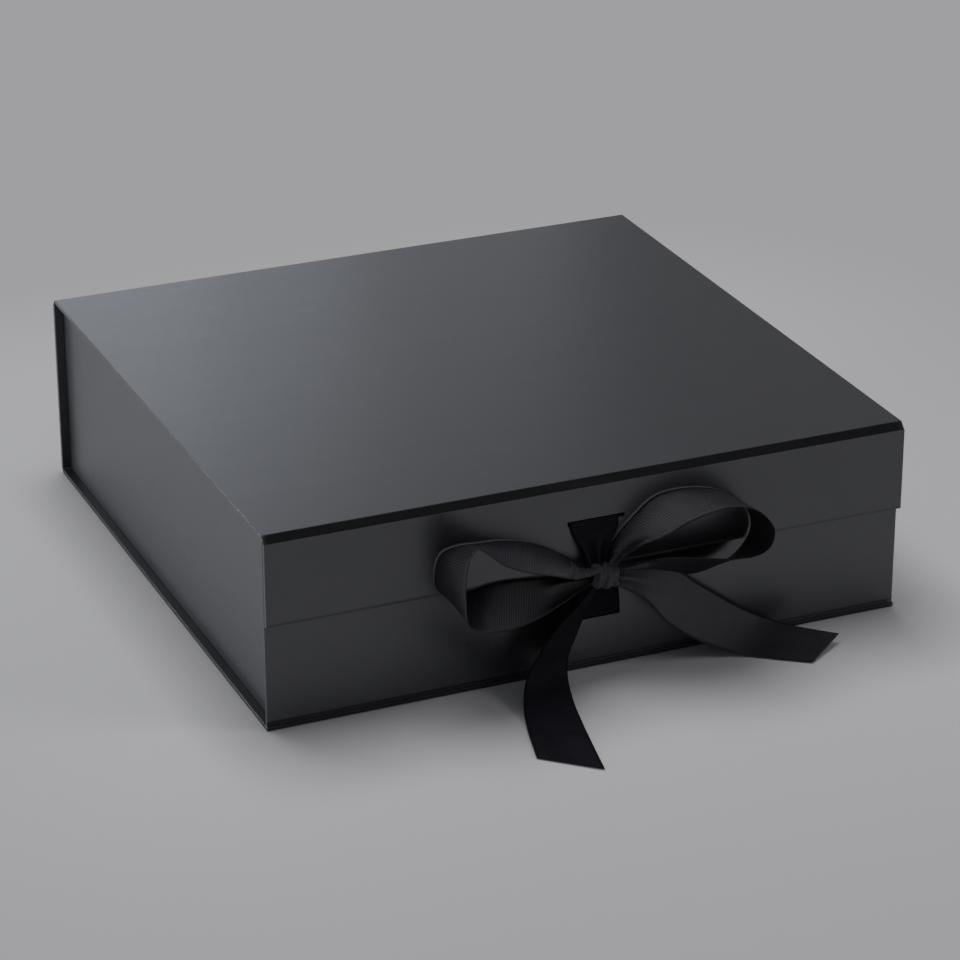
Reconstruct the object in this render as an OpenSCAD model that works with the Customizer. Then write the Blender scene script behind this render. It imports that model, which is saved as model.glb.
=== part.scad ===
/* [Box] */
// Clear width inside the box, side wall to side wall
inner_w = 311; // [260:1:400]
// Clear depth inside the box, front wall to spine
inner_d = 310; // [220:1:400]
// Clear height inside the box, base to lid
inner_h = 94; // [88:1:140]
// Thickness of the wrapped greyboard panels
board = 2; // [1.8:0.1:2.6]
// Thickness of the lining paper
liner = 0.3; // [0.2:0.05:0.4]
// How far base, lid and spine stand out past the side walls
ledge = 4.5; // [3:0.5:8]
// How far the front wall stops short of the lid's side edges
front_inset = 0.3; // [0.2:0.1:2.5]
// How far the base stands out in front of the front wall
front_lip = 1; // [0.5:0.1:2]
// Bare border that the lining leaves along a panel's edge
liner_border = 4; // [3:0.5:8]

/* [Paper hinges] */
// Distance from a board's edge to the outer face of the next board
groove = 3.3; // [3:0.1:4.5]
// Depth of a hinge axis below the two outer faces
hinge_inset = 1.1; // [1:0.05:1.3]
// Radius of the folded paper at the lid and flap hinges
fold_r = 0.9; // [0.6:0.05:1]
// Radius of the folded paper at the foot of a side wall
wall_fold_r = 0.5; // [0.4:0.05:0.8]
// Room between the base and a side wall folded down onto it, besides its liner, tab and strip
wall_fold_room = 0.3; // [0.2:0.05:0.6]
// Thickness of the doubled hinge paper
hinge_paper = 0.8; // [0.5:0.1:1]
// Height of the paper fold between the base and the front wall
front_fold_h = 2; // [1:0.1:3]
// Clearance between pieces that move past each other
clear = 0.3; // [0.2:0.05:0.4]

/* [Flap and magnets] */
// How far the flap reaches down from the lid's top face
flap_drop = 44.4; // [38:0.2:50]
// Gap between the closed flap's lining and the front wall
flap_gap = 1.2; // [1.1:0.1:2]
// Radius of a magnet
magnet_r = 5; // [4:0.5:8]
// Thickness of a magnet
magnet_t = 1.2; // [0.8:0.1:1.4]
// Distance from the middle of the box to a magnet
magnet_x = 95.5; // [60:0.5:115]
// Height of a magnet above the flap's lower edge
magnet_up = 14; // [10:0.5:16]
// Width of a steel catch plate
plate_w = 20; // [12:1:30]
// Height of a steel catch plate
plate_h = 10; // [6:1:14]
// Thickness of a steel catch plate
plate_t = 0.6; // [0.4:0.1:1]

/* [Ribbon slots] */
// Width of the ribbon
ribbon_w = 25; // [18:1:30]
// Thickness of the ribbon
ribbon_t = 0.5; // [0.3:0.1:0.6]
// Room beside the ribbon in a slot, on each side
slot_side = 2; // [1:0.5:4]
// Height of a slot
slot_h = 2; // [1.5:0.1:3]
// Sideways offset of both slots from the middle of the box
slot_x = 0.5; // [-5:0.5:5]
// Distance from the lid's top face down to the flap's slot
upper_slot_drop = 20.5; // [18:0.5:26]
// Height of the front wall's slot above the table
lower_slot_z = 26; // [22:0.5:32]
// Sideways shift of the upper strap in its slot
upper_strap_shift = -1.5; // [-2:0.5:2]
// Sideways shift of the lower strap in its slot
lower_strap_shift = 1.5; // [-2:0.5:2]
// Length of ribbon that lies flat behind a slot
strap_end = 20; // [12:1:22]
// Thickness of the self-adhesive patch on a ribbon's end
patch_t = 0.3; // [0.2:0.05:0.35]
// Length of the self-adhesive patch
patch_h = 14; // [8:1:18]

/* [Corner tabs] */
// Length of a corner tab along the front wall or the spine
tab_w = 22; // [15:1:28]
// Thickness of a corner tab
tab_t = 1; // [0.8:0.1:1.6]
// Height left free below and above a corner tab's root
tab_margin = 8; // [6:1:16]
// Width of the adhesive strip on a corner tab
strip_w = 10; // [6:1:12]
// Thickness of the adhesive strip
strip_t = 0.2; // [0.1:0.05:0.3]

/* [Hidden] */
$fn = 48;

wrap_colour = [0.17, 0.17, 0.19];
liner_colour = [0.12, 0.12, 0.13];
fold_colour = [0.09, 0.09, 0.10];
ribbon_colour = [0.05, 0.05, 0.06];
steel_colour = [0.72, 0.73, 0.75];
tape_colour = [0.85, 0.84, 0.78];

// Outer size and the planes that the panels share
outer_w = inner_w + 2 * board + 2 * ledge;
outer_h = inner_h + 2 * board;
wall_in_x = inner_w / 2;
wall_out_x = wall_in_x + board;
front_in = -inner_d / 2;
front_out = front_in - board;
back_in = inner_d / 2;
back_out = back_in + board;
flap_liner_y = front_out - flap_gap;
flap_in = flap_liner_y - liner;
flap_out = flap_in - board;
base_front = front_out - front_lip;
board_back = back_out - groove;
lid_front = flap_out + groove;
lid_under = outer_h - board;
flap_bottom = outer_h - flap_drop;
panel_top = outer_h - groove;
floor_z = board + liner;
front_half_w = outer_w / 2 - front_inset;

// Hinge axes
lid_axis = [back_out - hinge_inset, outer_h - hinge_inset];
flap_axis = [flap_out + hinge_inset, outer_h - hinge_inset];
tab_stack = liner + clear + tab_t + strip_t;
wall_axis_z = floor_z + tab_stack + wall_fold_room;
wall_foot = board + clear;
wall_head = lid_under - liner - clear;
wall_half_d = inner_d / 2 - liner - clear;
tab_axis_x = wall_in_x - liner - clear - tab_t / 2;
tab_axis_y = inner_d / 2 - liner - clear - strip_t - tab_t / 2;
tab_low = floor_z + tab_margin;
tab_high = wall_head - tab_margin;

// Slots, straps and the middle of the knot
upper_slot_z = outer_h - upper_slot_drop;
slot_w = ribbon_w + 2 * slot_side;
knot_z = (upper_slot_z + lower_slot_z) / 2;
upper_strap_x = slot_x + upper_strap_shift;
lower_strap_x = slot_x + lower_strap_shift;
magnet_z = flap_bottom + magnet_up;
plate_clear = 0.1;

// The bow is drawn for a ribbon this wide, with its knot this high above the table
drawn_w = 25;
drawn_knot_z = 52;

// Stations of the bow. Each holds a point on the edge nearer the box, as sideways, outward
// and height, then the step across the ribbon to its other edge in the same directions.
// Sideways starts at the slots and outward at the flap's face. A loop's heights start at
// the knot's middle, and a tail's at the table.
LOOP_RIGHT = [
  [[4, 2.5, 4], [1, 8, 1]], [[7, 1.5, 13], [9, 10, 0]], [[17, 1, 23], [9, 19.5, -2]],
  [[28.5, 1, 32], [7.5, 22.5, -5]], [[41, 1, 34], [6, 23.5, -3.5]], [[54, 1, 32.5], [4, 23.5, -1]],
  [[65, 1, 28.5], [4, 23.5, 0]], [[74, 1, 22], [2.5, 23.5, 0.5]], [[79.5, 1, 13], [1, 23.5, 2]],
  [[79, 1, 4], [-1, 23.5, 3]], [[72, 1, -4.5], [-2, 22.5, 8]], [[60, 1, -10], [-2, 19.5, 13.5]],
  [[47, 1, -11], [-4, 16, 16.5]], [[31, 1.5, -7.5], [-4, 12.5, 14.5]], [[17, 2.5, -2.5], [-3, 8.5, 7.5]],
  [[7, 3.5, 1], [1, 6, 2]]
];
LOOP_LEFT = [
  [[-1, 3.5, 4], [-1, 6, 0]], [[-9, 2.5, 4], [-1, 9, 0]], [[-16, 1, 10], [-5, 18.5, -2]],
  [[-24, 1, 15.5], [-8, 22.5, -2.5]], [[-34, 1, 20.5], [-10.5, 23.5, -3]], [[-47, 1, 24], [-9, 23.5, -1]],
  [[-59, 1, 25], [-5, 23.5, 5]], [[-70, 1, 25.5], [0.5, 23.5, 8.5]], [[-78, 1, 23], [4, 23.5, 5]],
  [[-81, 1, 14.5], [5.5, 23.5, 4]], [[-80, 1, 6], [4.5, 23.5, 3]], [[-74, 1, 1], [0, 22.5, -4]],
  [[-64, 1, 1.5], [-4, 20, -10.5]], [[-54, 1, 3], [-5, 15, -17]], [[-41.5, 1, 3], [-6, 12.5, -18.5]],
  [[-27.5, 1, 1.5], [-6.5, 11.5, -14.5]], [[-14, 2, -0.5], [-4, 8.5, -7]], [[-5, 3.5, -3], [-1, 6, 0.5]]
];
TAIL_RIGHT = [
  [[11, 5.5, 54], [-4, 3, -8]], [[22, 4.5, 53.5], [-8, 5, -11.5]], [[37, 3.5, 48.5], [-15, 7, -12.5]],
  [[51, 1.5, 37], [-19, 9, -14]], [[65, 1, 26], [-19, 11, -14]], [[79, 1, 16], [-20, 13, -10.5]],
  [[91, 2.5, 9.5], [-18.5, 16, -8.5]], [[102, 8.5, 6], [-17, 19, -5.3]], [[118.5, 21.5, 4.7], [-21.5, 14.5, -4]]
];
TAIL_LEFT = [
  [[-2, 4.5, 46], [-4, 6, 3]], [[-4.5, 1.5, 36], [-11, 12, 6]], [[-7.5, 1.5, 27], [-16.5, 13.5, 8.5]],
  [[-10.5, 1.5, 19.5], [-20, 13, 8]], [[-14.5, 2.5, 11], [-22, 10.5, 6]], [[-18.5, 10.5, 5], [-24, 6, 4.5]],
  [[-23.5, 27.5, 1.8], [-24.5, -1, 2]], [[-27.5, 45.5, 0.6], [-24.5, -7, 0]], [[-32, 66.5, 0.6], [-24.5, -12.5, 0]],
  [[-37, 91, 0.6], [-23.5, -21.5, 0]]
];
// Half sizes of the knot's core, the radius it is rounded by and where its middle is
KNOT_CORE = [5, 2];
KNOT_SHIFT = [1.8, -0.8];
knot_r = 4.6;
knot_out = 5.5;
rings_between = 4;

// A block between two opposite corners
module block(low, high) {
  translate(low)
    cube(high - low);
}

// A block that is the same on both sides of the middle plane
module wide_block(half_w, low_y, high_y, low_z, high_z) {
  block([-half_w, low_y, low_z], [half_w, high_y, high_z]);
}

// A round rod along X about an axis given as its Y and Z
module rod_x(axis, r, half_w) {
  translate([-half_w, axis[0], axis[1]])
    rotate([0, 90, 0])
      cylinder(r = r, h = 2 * half_w);
}

// The cut of a ribbon slot through a panel between two Y planes
module slot_cut(z, low_y, high_y) {
  block([slot_x - slot_w / 2, low_y, z - slot_h / 2], [slot_x + slot_w / 2, high_y, z + slot_h / 2]);
}

// A point on the smooth curve through a list of points, at a place from 0 to the last index
function curve_at(p, t) =
  let (
    i = min(floor(t), len(p) - 2),
    u = t - i,
    a = p[max(i - 1, 0)],
    b = p[i],
    c = p[i + 1],
    d = p[min(i + 2, len(p) - 1)]
  )
  0.5 * (2 * b + u * (c - a) + u * u * (2 * a - 5 * b + 4 * c - d) + u * u * u * (3 * b - a - 3 * c + d));

// A direction in the bow's terms turned into one along X, Y and Z
function bow_step(s) = [s[0], -s[1], s[2]];

// The two edges of a ribbon, from its stations and the point that they start at
function near_edge(stations, start, lift) =
  [for (s = stations) start + bow_step([s[0][0], s[0][1], s[0][2] * lift])];
function far_edge(stations, start, lift) =
  [for (s = stations) start + bow_step([s[0][0], s[0][1], s[0][2] * lift])
    + bow_step([s[1][0], s[1][1], s[1][2] * lift]) * ribbon_w / drawn_w];

// A flat ribbon between two edge curves
module ribbon_band(edge_a, edge_b) {
  last = len(edge_a) - 1;
  count = last * rings_between;
  rings = [
    for (k = [0 : count])
      let (
        t = k / rings_between,
        a = curve_at(edge_a, t),
        b = curve_at(edge_b, t),
        ahead = min(t + 0.05, last),
        behind = max(t - 0.05, 0),
        along = curve_at(edge_a, ahead) + curve_at(edge_b, ahead)
          - curve_at(edge_a, behind) - curve_at(edge_b, behind),
        face = cross(along, b - a),
        lift = face / norm(face) * ribbon_t / 2
      )
      [a + lift, b + lift, b - lift, a - lift]
  ];
  points = [for (ring = rings) each ring];
  sides = [
    for (k = [0 : count - 1], j = [0 : 3])
      let (p = 4 * k + j, q = 4 * k + (j + 1) % 4)
      each (j == 2 ? [[p, q, q + 4], [p, q + 4, p + 4]] : [[p, q, p + 4], [q, q + 4, p + 4]])
  ];
  cap = 4 * count;
  ends = [[0, 2, 1], [0, 3, 2], [cap, cap + 1, cap + 2], [cap, cap + 2, cap + 3]];
  polyhedron(points = points, faces = concat(sides, ends), convexity = 8);
}

// The start of the bow's stations: a loop's at the knot, a tail's at the table
loop_start = [slot_x, flap_out, knot_z];
tail_start = [slot_x, flap_out, 0];
tail_lift = knot_z / drawn_knot_z;

module loop(stations) {
  color(ribbon_colour)
    ribbon_band(near_edge(stations, loop_start, 1), far_edge(stations, loop_start, 1));
}

module tail(stations) {
  color(ribbon_colour)
    ribbon_band(near_edge(stations, tail_start, tail_lift), far_edge(stations, tail_start, tail_lift));
}

module base_board() {
  color(wrap_colour)
    wide_block(outer_w / 2, base_front, board_back, 0, board);
}

module base_liner() {
  color(liner_colour)
    wide_block(wall_in_x - hinge_paper / 2 - clear, front_in + liner + clear, board_back - clear, board, floor_z);
}

// The front wall, with the ribbon slot and a pocket for each catch plate
module front_wall_board() {
  color(wrap_colour)
    difference() {
      wide_block(front_half_w, front_out, front_in, board + front_fold_h, lid_under - clear);
      slot_cut(lower_slot_z, front_out - 1, front_in + 1);
      for (side = [-1, 1])
        plate_at(side, plate_clear);
    }
}

// One catch plate, or with a margin the pocket that holds it
module plate_at(side, margin) {
  half = [plate_w / 2 + margin, plate_h / 2 + margin];
  block(
    [side * magnet_x - half[0], front_in - plate_t - margin, magnet_z - half[1]],
    [side * magnet_x + half[0], front_in + (margin > 0 ? 1 : 0), magnet_z + half[1]]
  );
}

module front_wall_liner() {
  color(liner_colour)
    difference() {
      wide_block(wall_in_x - clear, front_in, front_in + liner, board + front_fold_h, lid_under - liner_border);
      slot_cut(lower_slot_z, front_in - 1, front_in + liner + 1);
    }
}

module spine_board() {
  color(wrap_colour)
    wide_block(outer_w / 2, back_in, back_out, groove, panel_top);
}

module spine_liner() {
  color(liner_colour)
    wide_block(wall_in_x - clear, back_in - liner, back_in, groove, panel_top - liner_border);
}

// Folded paper between the base and the front wall
module front_wall_fold() {
  color(fold_colour)
    wide_block(front_half_w, front_out + clear, front_in - clear, board, board + front_fold_h);
}

// Folded paper that slants from the base's back edge to the foot of the spine
module spine_foot_fold() {
  color(fold_colour)
    translate([-outer_w / 2, 0, 0])
      rotate([90, 0, 90])
        linear_extrude(height = outer_w)
          polygon([
            [board_back, clear], [board_back + hinge_paper, clear], [back_out - clear, groove],
            [back_out - clear - hinge_paper, groove], [board_back, board - clear]
          ]);
}

// Round fold of paper that the lid turns on, carried on the spine's top edge
module lid_hinge_fold() {
  color(fold_colour)
    union() {
      rod_x(lid_axis, fold_r, outer_w / 2);
      wide_block(outer_w / 2, lid_axis[0] - hinge_paper / 2, lid_axis[0] + hinge_paper / 2, panel_top, lid_axis[1]);
    }
}

module lid_hinge_leaf() {
  color(fold_colour)
    wide_block(outer_w / 2, board_back, lid_axis[0] - fold_r - clear,
      lid_axis[1] - hinge_paper / 2, lid_axis[1] + hinge_paper / 2);
}

// Round fold of paper that the flap turns on, carried on the lid's front edge
module flap_hinge_fold() {
  color(fold_colour)
    union() {
      rod_x(flap_axis, fold_r, outer_w / 2);
      wide_block(outer_w / 2, flap_axis[0], lid_front, flap_axis[1] - hinge_paper / 2, flap_axis[1] + hinge_paper / 2);
    }
}

module flap_hinge_leaf() {
  color(fold_colour)
    wide_block(outer_w / 2, flap_axis[0] - hinge_paper / 2, flap_axis[0] + hinge_paper / 2,
      panel_top, flap_axis[1] - fold_r - clear);
}

module lid_board() {
  color(wrap_colour)
    wide_block(outer_w / 2, lid_front, board_back, lid_under, outer_h);
}

module lid_liner() {
  color(liner_colour)
    wide_block(outer_w / 2 - liner_border, front_in + liner_border, board_back - liner_border,
      lid_under - liner, lid_under);
}

// The flap, with the ribbon slot and a pocket for each magnet
module flap_board() {
  color(wrap_colour)
    difference() {
      wide_block(outer_w / 2, flap_out, flap_in, flap_bottom, panel_top);
      slot_cut(upper_slot_z, flap_out - 1, flap_in + 1);
      for (side = [-1, 1])
        magnet_at(side, magnet_r + plate_clear, magnet_t + plate_clear, 1);
    }
}

// A disc set into the flap's inner face, which may run past that face
module magnet_at(side, r, depth, past) {
  translate([side * magnet_x, flap_in + past, magnet_z])
    rotate([90, 0, 0])
      cylinder(r = r, h = depth + past);
}

module flap_liner() {
  color(liner_colour)
    difference() {
      wide_block(outer_w / 2 - liner_border, flap_in, flap_liner_y, flap_bottom + liner_border, panel_top - clear);
      slot_cut(upper_slot_z, flap_in - 1, flap_liner_y + 1);
    }
}

module flap_magnets() {
  color(steel_colour)
    for (side = [-1, 1])
      magnet_at(side, magnet_r, magnet_t, 0);
}

module catch_plates() {
  color(steel_colour)
    for (side = [-1, 1])
      plate_at(side, 0);
}

// Mirrors a right-hand piece to the left, where side is -1 for the left and 1 for the right
module on_side(side) {
  mirror([side < 0 ? 1 : 0, 0, 0])
    children();
}

// A side wall, with room at its foot for the fold that it turns on
module side_wall_board(side) {
  half = hinge_paper / 2 + clear;
  color(wrap_colour)
    on_side(side)
      difference() {
        block([wall_in_x, -wall_half_d, wall_foot], [wall_out_x, wall_half_d, wall_head]);
        wall_rod(wall_fold_r + clear, wall_half_d + 1);
        block([wall_in_x - half, -wall_half_d - 1, 0], [wall_in_x + half, wall_half_d + 1, wall_axis_z]);
      }
}

// A round rod along Y on the right wall's axis
module wall_rod(r, half_d) {
  translate([wall_in_x, half_d, wall_axis_z])
    rotate([90, 0, 0])
      cylinder(r = r, h = 2 * half_d);
}

module side_wall_liner(side) {
  foot = wall_axis_z + wall_fold_r + clear;
  color(liner_colour)
    on_side(side)
      block([wall_in_x - liner, -wall_half_d, foot], [wall_in_x, wall_half_d, wall_head]);
}

// Round fold of paper that a side wall turns on, standing on the base
module side_wall_fold(side) {
  half = hinge_paper / 2;
  color(fold_colour)
    on_side(side)
      union() {
        wall_rod(wall_fold_r, wall_half_d);
        block([wall_in_x - half, -wall_half_d, board], [wall_in_x + half, wall_half_d, wall_axis_z]);
      }
}

// Moves a right-hand back corner's piece to its corner: end is -1 for the front and 1 for the back
module at_corner(side, end) {
  mirror([0, end < 0 ? 1 : 0, 0])
    on_side(side)
      children();
}

// A tab that folds out from a side wall's end, with slanted ends that clear the base as the wall folds
module corner_tab(side, end) {
  color(wrap_colour)
    at_corner(side, end)
      union() {
        translate([tab_axis_x, tab_axis_y, tab_low])
          cylinder(r = tab_t / 2, h = tab_high - tab_low);
        translate([0, tab_axis_y + tab_t / 2, 0])
          rotate([90, 0, 0])
            linear_extrude(height = tab_t)
              polygon([
                [tab_axis_x, tab_low], [tab_axis_x, tab_high],
                [tab_axis_x - tab_w, tab_high - tab_w], [tab_axis_x - tab_w, tab_low + tab_w]
              ]);
      }
}

// The adhesive strip on the tab's outer face, clear of its slanted ends
module tab_strip(side, end) {
  middle = tab_axis_x - tab_w / 2 - tab_t / 2;
  strip_y = tab_axis_y + tab_t / 2;
  inset = tab_w / 2 + strip_w / 2 + 2;
  color(tape_colour)
    at_corner(side, end)
      block(
        [middle - strip_w / 2, strip_y, tab_low + inset],
        [middle + strip_w / 2, strip_y + strip_t, tab_high - inset]
      );
}

// Upper strap: flat behind the flap, out through its slot and down into the knot
module ribbon_upper_strap() {
  half = ribbon_w / 2;
  x = upper_strap_x;
  z = upper_slot_z;
  back = flap_liner_y + ribbon_t;
  front = flap_out - clear;
  color(ribbon_colour)
    union() {
      block([x - half, flap_liner_y, z - strap_end], [x + half, back, z]);
      block([x - half, front - ribbon_t, z - ribbon_t / 2], [x + half, back, z + ribbon_t / 2]);
      ribbon_band(
        [[x - half, front - ribbon_t / 2, z], [x - half + 1, front - 1.5, z - 6],
          [slot_x - ribbon_w / 3, front - 3, z - 14], [slot_x - ribbon_w / 5, flap_out - knot_out, knot_z + knot_r]],
        [[x + half, front - ribbon_t / 2, z], [x + half - 1, front - 1.5, z - 6],
          [slot_x + ribbon_w / 6, front - 3, z - 14], [slot_x + ribbon_w / 10, flap_out - knot_out, knot_z + knot_r]]
      );
    }
}

// Lower strap: flat inside the front wall, out through its slot and up behind the knot
module ribbon_lower_strap() {
  half = ribbon_w / 2;
  x = lower_strap_x;
  z = lower_slot_z;
  inside = front_in + liner;
  top = knot_z - 3;
  front = front_out - clear;
  color(ribbon_colour)
    union() {
      block([x - half, inside, z], [x + half, inside + ribbon_t, z + strap_end]);
      block([x - half, front - ribbon_t, z - ribbon_t / 2], [x + half, inside + ribbon_t, z + ribbon_t / 2]);
      ribbon_band(
        [[x - half, front - ribbon_t / 2, z], [x - half + 1, front - 1.5, z + (top - z) / 2],
          [x - half + 3, front - 1.5, top]],
        [[x + half, front - ribbon_t / 2, z], [x + half - 0.5, front - 1.5, z + (top - z) / 2],
          [x + half - 3, front - 1.5, top]]
      );
    }
}

module ribbon_upper_patch() {
  half = ribbon_w / 2;
  y = flap_liner_y + ribbon_t;
  low = upper_slot_z - strap_end;
  color(tape_colour)
    block([upper_strap_x - half, y, low], [upper_strap_x + half, y + patch_t, low + patch_h]);
}

module ribbon_lower_patch() {
  half = ribbon_w / 2;
  y = front_in + liner + ribbon_t;
  high = lower_slot_z + strap_end;
  color(tape_colour)
    block([lower_strap_x - half, y, high - patch_h], [lower_strap_x + half, y + patch_t, high]);
}

// The knot, a rounded bundle that stands on the flap's lower edge
module bow_knot() {
  color(ribbon_colour)
    translate([slot_x + KNOT_SHIFT[0], flap_out - knot_out, knot_z + KNOT_SHIFT[1]])
      hull()
        for (x = [-1, 1], z = [-1, 1])
          translate([x * KNOT_CORE[0], 0, z * KNOT_CORE[1]])
            sphere(r = knot_r, $fn = 32);
}

base_board();
base_liner();
front_wall_board();
front_wall_liner();
spine_board();
spine_liner();
front_wall_fold();
spine_foot_fold();
lid_hinge_fold();
side_wall_fold(-1);  // left_wall_fold
side_wall_fold(1);  // right_wall_fold
catch_plates();
ribbon_lower_strap();
ribbon_lower_patch();
lid_board();
lid_liner();
lid_hinge_leaf();
flap_hinge_fold();
flap_board();
flap_liner();
flap_hinge_leaf();
flap_magnets();
ribbon_upper_strap();
ribbon_upper_patch();
bow_knot();
loop(LOOP_LEFT);  // bow_loop_left
loop(LOOP_RIGHT);  // bow_loop_right
tail(TAIL_LEFT);  // bow_tail_left
tail(TAIL_RIGHT);  // bow_tail_right
side_wall_board(-1);  // left_wall_board
side_wall_liner(-1);  // left_wall_liner
side_wall_board(1);  // right_wall_board
side_wall_liner(1);  // right_wall_liner
corner_tab(-1, -1);  // tab_front_left
corner_tab(1, -1);  // tab_front_right
corner_tab(-1, 1);  // tab_back_left
corner_tab(1, 1);  // tab_back_right
tab_strip(-1, -1);  // strip_front_left
tab_strip(1, -1);  // strip_front_right
tab_strip(-1, 1);  // strip_back_left
tab_strip(1, 1);  // strip_back_right
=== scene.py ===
import math

import bpy
import numpy as np
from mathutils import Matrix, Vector


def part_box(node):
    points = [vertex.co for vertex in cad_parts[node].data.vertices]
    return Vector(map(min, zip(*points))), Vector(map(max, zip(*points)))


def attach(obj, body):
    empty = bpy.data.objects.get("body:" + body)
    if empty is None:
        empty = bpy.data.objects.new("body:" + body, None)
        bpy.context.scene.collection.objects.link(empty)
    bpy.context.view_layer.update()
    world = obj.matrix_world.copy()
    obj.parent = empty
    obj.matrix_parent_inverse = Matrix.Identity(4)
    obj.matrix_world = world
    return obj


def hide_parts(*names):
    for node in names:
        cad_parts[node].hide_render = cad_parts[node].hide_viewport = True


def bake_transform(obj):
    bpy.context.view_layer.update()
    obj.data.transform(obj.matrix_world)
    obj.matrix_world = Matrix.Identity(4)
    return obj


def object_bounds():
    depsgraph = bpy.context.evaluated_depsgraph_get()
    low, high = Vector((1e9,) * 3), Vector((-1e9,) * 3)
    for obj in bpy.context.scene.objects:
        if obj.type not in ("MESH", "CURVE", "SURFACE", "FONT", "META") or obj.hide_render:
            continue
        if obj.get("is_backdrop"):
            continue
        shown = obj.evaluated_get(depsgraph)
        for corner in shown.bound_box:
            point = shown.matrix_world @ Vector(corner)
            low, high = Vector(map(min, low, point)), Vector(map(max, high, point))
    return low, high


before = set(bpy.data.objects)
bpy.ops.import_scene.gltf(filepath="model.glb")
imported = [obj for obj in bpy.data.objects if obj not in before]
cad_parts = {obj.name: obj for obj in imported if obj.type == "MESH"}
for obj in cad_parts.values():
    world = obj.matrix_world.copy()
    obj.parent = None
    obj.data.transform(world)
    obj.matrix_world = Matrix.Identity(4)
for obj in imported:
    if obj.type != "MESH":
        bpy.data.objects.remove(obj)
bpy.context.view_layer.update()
MM = 0.001

# ---------------------------------------------------------------- sizes from the part, in mm
# X is across the box, Y from its front (negative) to its back, and Z up from the table.
OUTER_W = 324.0
OUTER_H = 98.0
BOARD = 2.0
LINER = 0.3
FLAP_OUT = -160.5           # Y of the flap's outer face, then of its inner face and its lining's
FLAP_IN = -158.5
FLAP_LINER_Y = -158.2
FRONT_OUT = -157.0          # Y of the front wall's two faces
FRONT_IN = -155.0
BACK_OUT = 157.0            # Y of the spine's two faces
BACK_IN = 155.0
BOARD_BACK = 153.7          # Y of the lid board's back edge, and of its front edge
LID_FRONT = -157.2
LID_UNDER = 96.0
PANEL_TOP = 94.7            # Z of the top of the flap board and the spine board
BASE_FRONT = -158.0
FRONT_FOOT = 4.0            # Z of the foot of the front wall's board
FRONT_HALF_W = 161.7
RIBBON_W = 25.0
RIBBON_T = 0.5
SLOT_X = 0.5
UPPER_SLOT_Z = 77.5
LOWER_SLOT_Z = 26.0
UPPER_STRAP_X = -1.0
LOWER_STRAP_X = 2.0
STRAP_END = 20.0            # the length of each strap's end behind its slot
CLEAR = 0.3                 # between a strap and the board in front of which it hangs
KNOT_Z = 51.75
DRAWN_KNOT_Z = 52.0         # the knot's height at which the tails' stations are drawn
KNOT_MIDDLE = (2.3, -166.0, 50.95)

# Stations of the bow, as in the part: a point on the edge nearer the box, as sideways, outward
# and height, then the step across the ribbon to its other edge in the same directions.
LOOP_RIGHT = [
    [[4, 2.5, 4], [1, 8, 1]], [[7, 1.5, 13], [9, 10, 0]],
    [[17, 1, 23], [9, 19.5, -2]], [[28.5, 1, 32], [7.5, 22.5, -5]],
    [[41, 1, 34], [6, 23.5, -3.5]], [[54, 1, 32.5], [4, 23.5, -1]],
    [[65, 1, 28.5], [4, 23.5, 0]], [[74, 1, 22], [2.5, 23.5, 0.5]],
    [[79.5, 1, 13], [1, 23.5, 2]], [[79, 1, 4], [-1, 23.5, 3]],
    [[72, 1, -4.5], [-2, 22.5, 8]], [[60, 1, -10], [-2, 19.5, 13.5]],
    [[47, 1, -11], [-4, 16, 16.5]], [[31, 1.5, -7.5], [-4, 12.5, 14.5]],
    [[17, 2.5, -2.5], [-3, 8.5, 7.5]], [[7, 3.5, 1], [1, 6, 2]],
]
LOOP_LEFT = [
    [[-1, 3.5, 4], [-1, 6, 0]], [[-9, 2.5, 4], [-1, 9, 0]],
    [[-16, 1, 10], [-5, 18.5, -2]], [[-24, 1, 15.5], [-8, 22.5, -2.5]],
    [[-34, 1, 20.5], [-10.5, 23.5, -3]], [[-47, 1, 24], [-9, 23.5, -1]],
    [[-59, 1, 25], [-5, 23.5, 5]], [[-70, 1, 25.5], [0.5, 23.5, 8.5]],
    [[-78, 1, 23], [4, 23.5, 5]], [[-81, 1, 14.5], [5.5, 23.5, 4]],
    [[-80, 1, 6], [4.5, 23.5, 3]], [[-74, 1, 1], [0, 22.5, -4]],
    [[-64, 1, 1.5], [-4, 20, -10.5]], [[-54, 1, 3], [-5, 15, -17]],
    [[-41.5, 1, 3], [-6, 12.5, -18.5]], [[-27.5, 1, 1.5], [-6.5, 11.5, -14.5]],
    [[-14, 2, -0.5], [-4, 8.5, -7]], [[-5, 3.5, -3], [-1, 6, 0.5]],
]
TAIL_RIGHT = [
    [[11, 5.5, 54], [-4, 3, -8]], [[22, 4.5, 53.5], [-8, 5, -11.5]],
    [[37, 3.5, 48.5], [-15, 7, -12.5]], [[51, 1.5, 37], [-19, 9, -14]],
    [[65, 1, 26], [-19, 11, -14]], [[79, 1, 16], [-20, 13, -10.5]],
    [[91, 2.5, 9.5], [-18.5, 16, -8.5]], [[102, 8.5, 6], [-17, 19, -5.3]],
    [[118.5, 21.5, 4.7], [-21.5, 14.5, -4]],
]
TAIL_LEFT = [
    [[-2, 4.5, 46], [-4, 6, 3]], [[-4.5, 1.5, 36], [-11, 12, 6]],
    [[-7.5, 1.5, 27], [-16.5, 13.5, 8.5]], [[-10.5, 1.5, 19.5], [-20, 13, 8]],
    [[-14.5, 2.5, 11], [-22, 10.5, 6]], [[-18.5, 10.5, 5], [-24, 6, 4.5]],
    [[-23.5, 27.5, 1.8], [-24.5, -1, 2]], [[-27.5, 45.5, 0.6], [-24.5, -7, 0]],
    [[-32, 66.5, 0.6], [-24.5, -12.5, 0]], [[-37, 91, 0.6], [-23.5, -21.5, 0]],
]

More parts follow.
